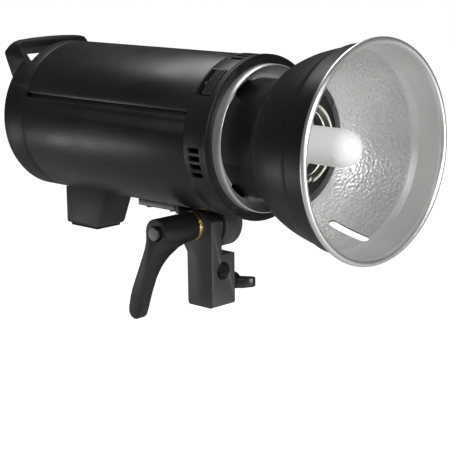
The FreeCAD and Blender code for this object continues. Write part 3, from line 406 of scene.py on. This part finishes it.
SLOT_ANGLE = -73.8
SLOT_Y = (-92.5, -54.5)
SLOT_HALF = 4.3


def reflector_bowl():
    outer = curved(BOWL_OUTER, 4)
    front = curved(BOWL_FRONT, 4)
    bead = []
    for k in range(25):
        a = math.radians(150 - 300 * k / 24)
        bead.append((BEAD_CENTRE[0] + BEAD_R * math.cos(a), BEAD_CENTRE[1] + BEAD_R * math.sin(a)))
    outside = outer + front + bead
    inner = inset(outer + front, SKIN)
    dense = []
    for (r0, y0), (r1, y1) in zip(inner, inner[1:]):
        steps = max(1, round(math.hypot(r1 - r0, y1 - y0) / 0.9))
        dense += [(r0 + (r1 - r0) * s / steps, y0 + (y1 - y0) * s / steps) for s in range(steps)]
    dense.append(inner[-1])
    inside = list(reversed(dense))
    profile = outside + inside
    bands = []
    for j, (r, y) in enumerate(profile):
        if j < len(outer + front):
            bands.append(0)
        elif j < len(outside):
            bands.append(0 if j - len(outer + front) < OUTER_BEAD_SPANS else 3)
        else:
            bands.append(2 if y < BAND_Y else 1)
    mesh = lathe("reflector_bowl_fine", profile, BOWL_SEGMENTS, bands)

    rng = random.Random(11)
    dimples = []
    length = 0.0
    run = [0.0]
    for (r0, y0), (r1, y1) in zip(inside, inside[1:]):
        length += math.hypot(r1 - r0, y1 - y0)
        run.append(length)
    rows = int(length / DIMPLE_PITCH)
    for row in range(rows):
        s = (row + 0.5) * DIMPLE_PITCH
        k = next(i for i, p in enumerate(run) if p >= s)
        r = inside[k][0]
        around = int(2 * math.pi * r / DIMPLE_PITCH)
        for c in range(around):
            a = 2 * math.pi * (c + rng.uniform(-0.42, 0.42)) / around
            j = min(max(k + rng.randint(-1, 1), 0), len(inside) - 1)
            rr, yy = inside[j]
            dimples.append((head(rr * math.cos(a), yy, rr * math.sin(a)), rng.uniform(0.4, 1.0)))
    tree = KDTree(len(dimples))
    for i, (centre, _) in enumerate(dimples):
        tree.insert(centre, i)
    tree.balance()
    count = len(profile)
    first = len(outside)
    reach = DIMPLE_PITCH * 0.72 * MM
    for k in range(BOWL_SEGMENTS):
        for j in range(first, count):
            r, y = profile[j]
            if not DIMPLED_Y[0] <= y <= DIMPLED_Y[1]:
                continue
            v = mesh.vertices[k * count + j]
            _, i, d = tree.find(v.co)
            if d < reach:
                sink = DIMPLE_DEPTH * MM * dimples[i][1] * (1 - (d / reach) ** 2)
                axis = Vector((v.co.x - HEAD.x, 0, v.co.z - HEAD.z)).normalized()
                v.co -= axis * sink
    obj = link("reflector_bowl_fine", mesh, "reflector", "bowl_alloy", "reflector_bowl")
    for m in (BOWL_OUT, BOWL_IN, BOWL_RIM, BOWL_LIP):
        obj.data.materials.append(m)

    middle = (SLOT_Y[0] + SLOT_Y[1]) / 2
    half = (SLOT_Y[1] - SLOT_Y[0]) / 2 - SLOT_HALF
    ring = []
    for k in range(32):
        a = 2 * math.pi * k / 32
        ring.append((SLOT_HALF * math.sin(a), middle + (half if math.cos(a) >= 0 else -half)
                     + SLOT_HALF * math.cos(a)))
    turn = Matrix.Rotation(-math.radians(SLOT_ANGLE), 4, "Y")
    verts = []
    for depth in (62.0, 96.0):
        for w, y in ring:
            p = turn @ Vector((depth, y, w))
            verts.append(head(*p))
    n = len(ring)
    faces = [tuple(range(n)), tuple(range(n, 2 * n))]
    faces += [(k, (k + 1) % n, n + (k + 1) % n, n + k) for k in range(n)]
    carve(obj, solid("slot_tool", verts, faces))
    smooth(obj.data, 50.0)
    return obj


reflector_bowl()


# ---- mount ring ---------------------------------------------------------------------
DISH_R = 60.0                  # the satin dish lies inside this radius


def mount_ring():
    lip = curved([(62.2, 2.8), (62.2, -5.9), (62.05, -7.4), (61.75, -8.3), (61.3, -8.62), (60.85, -8.3),
                  (60.5, -7.4), (60.1, -6.3), (58.2, -3.4), (56.0, -0.8), (53.6, 1.3), (50.4, 2.2)], 4)
    profile = lip + [(50.3, 8.0), (57.4, 8.0), (59.7, 4.5)]
    mesh = lathe("bayonet_ring_fine", profile, 256)
    obj = link("bayonet_ring_fine", mesh, "head", "mount_bright", "bayonet_ring")
    for start in (90, 210, 330):
        verts = []
        for y in (-1.0, 9.0):
            for r in (48.0, 53.4):
                for step in range(7):
                    a = math.radians(start + 26 - 13.5 + 27 * step / 6)
                    verts.append(head(r * math.cos(a), y, r * math.sin(a)))
        faces = []
        for step in range(6):
            a, b, c, d = step, step + 7, step + 14, step + 21
            faces += [(a, a + 1, b + 1, b), (c, c + 1, d + 1, d), (a, a + 1, c + 1, c), (b, b + 1, d + 1, d)]
        faces += [(0, 7, 21, 14), (6, 13, 27, 20)]
        carve(obj, solid("notch_tool", verts, faces))
    smooth(obj.data, 40.0)
    dress(obj, MATERIALS["mount_bright"])
    obj.data.materials.append(DISH)
    for polygon in obj.data.polygons:
        r = math.hypot(polygon.center.x - HEAD.x, polygon.center.z - HEAD.z) / MM
        polygon.material_index = 1 if r < DISH_R else 0


mount_ring()

# ---- nodes with rounded edges -------------------------------------------------------
ROUNDED = {
    "upper_cover": 0.5, "lower_shell": 0.4, "front_collar": 0.4, "rear_cap": 0.5, "front_bezel": 0.4,
    "stand_bracket": 0.7, "clamp_lever": 1.3, "head_knuckle": 0.5, "pivot_cap": 0.8, "mounting_rail": 0.4,
    "rest_foot": 1.2, "foot_pad": 0.4, "wing_screw": 1.6, "carry_handle": 1.6, "release_slider": 0.3,
    "lever_insert": 0.3, "tilt_washer": 0.2, "reflector_neck": 0.4, "control_panel": 0.3, "control_dial": 0.3,
    "rocker_frame": 0.4, "power_rocker": 0.4, "power_inlet": 0.4, "fuse_holder": 0.4, "lamp_holder": 0.4,
    "lamp_shield": 0.2, "lever_screw": 0.3,
}
for name, width in ROUNDED.items():
    refine(name, width, segments=3 if width > 1 else 2)


# ---- floor and light ----------------------------------------------------------------
def floor():
    mesh = bpy.data.meshes.new("floor")
    size, z = 6.0, -0.42
    mesh.from_pydata([(-size, -size, z), (size, -size, z), (size, size, z), (-size, size, z)], [],
                     [(0, 1, 2, 3)])
    obj = bpy.data.objects.new("floor", mesh)
    bpy.context.scene.collection.objects.link(obj)
    mat = surface("floor_paper", (0.62, 0.62, 0.62), 0.9, grain=60, bump=0.02, mottle=0.01, specular=0.1)
    glowing(mat, (1, 1, 1), 1.0)
    tree = mat.node_tree
    sight = node_of(tree, "ShaderNodeLightPath")
    shine = node_of(tree, "ShaderNodeMapRange")
    shine.inputs["To Min"].default_value = 0.05
    shine.inputs["To Max"].default_value = 1.0
    tree.links.new(sight.outputs["Is Camera Ray"], shine.inputs["Value"])
    tree.links.new(shine.outputs["Result"], tree.nodes["Principled BSDF"].inputs["Emission Strength"])
    dress(obj, mat)


def softbox(name, place, aim, size, power, color=(1, 1, 1)):
    data = bpy.data.lights.new(name, "AREA")
    data.shape = "RECTANGLE"
    data.size, data.size_y = size
    data.energy = power
    data.color = color
    obj = bpy.data.objects.new(name, data)
    obj.location = place
    obj.rotation_euler = (Vector(aim) - Vector(place)).to_track_quat("-Z", "Y").to_euler()
    bpy.context.scene.collection.objects.link(obj)


floor()
CENTRE = (0.0, 0.0, 0.15)
softbox("top_box", (0.2, 0.5, 1.3), CENTRE, (0.9, 0.5), 8)
softbox("rear_left_box", (-0.9, 1.2, -0.55), CENTRE, (0.9, 0.5), 10)
softbox("front_box", (-0.9, -1.4, 0.9), (0, -0.15, 0.15), (0.8, 0.8), 14)
softbox("fill_box", (0.2, -1.7, 0.1), (0, -0.15, 0.15), (0.6, 0.8), 12)

world = bpy.data.worlds.new("studio")
bpy.context.scene.world = world
world.use_nodes = True
tree = world.node_tree
back = tree.nodes["Background"]
path = tree.nodes.new("ShaderNodeLightPath")
level = tree.nodes.new("ShaderNodeMapRange")
level.inputs["To Min"].default_value = 0.06
level.inputs["To Max"].default_value = 1.0
tree.links.new(path.outputs["Is Camera Ray"], level.inputs["Value"])
tree.links.new(level.outputs["Result"], back.inputs["Strength"])
back.inputs["Color"].default_value = (1, 1, 1, 1)
bpy.context.scene.view_settings.view_transform = "Standard"
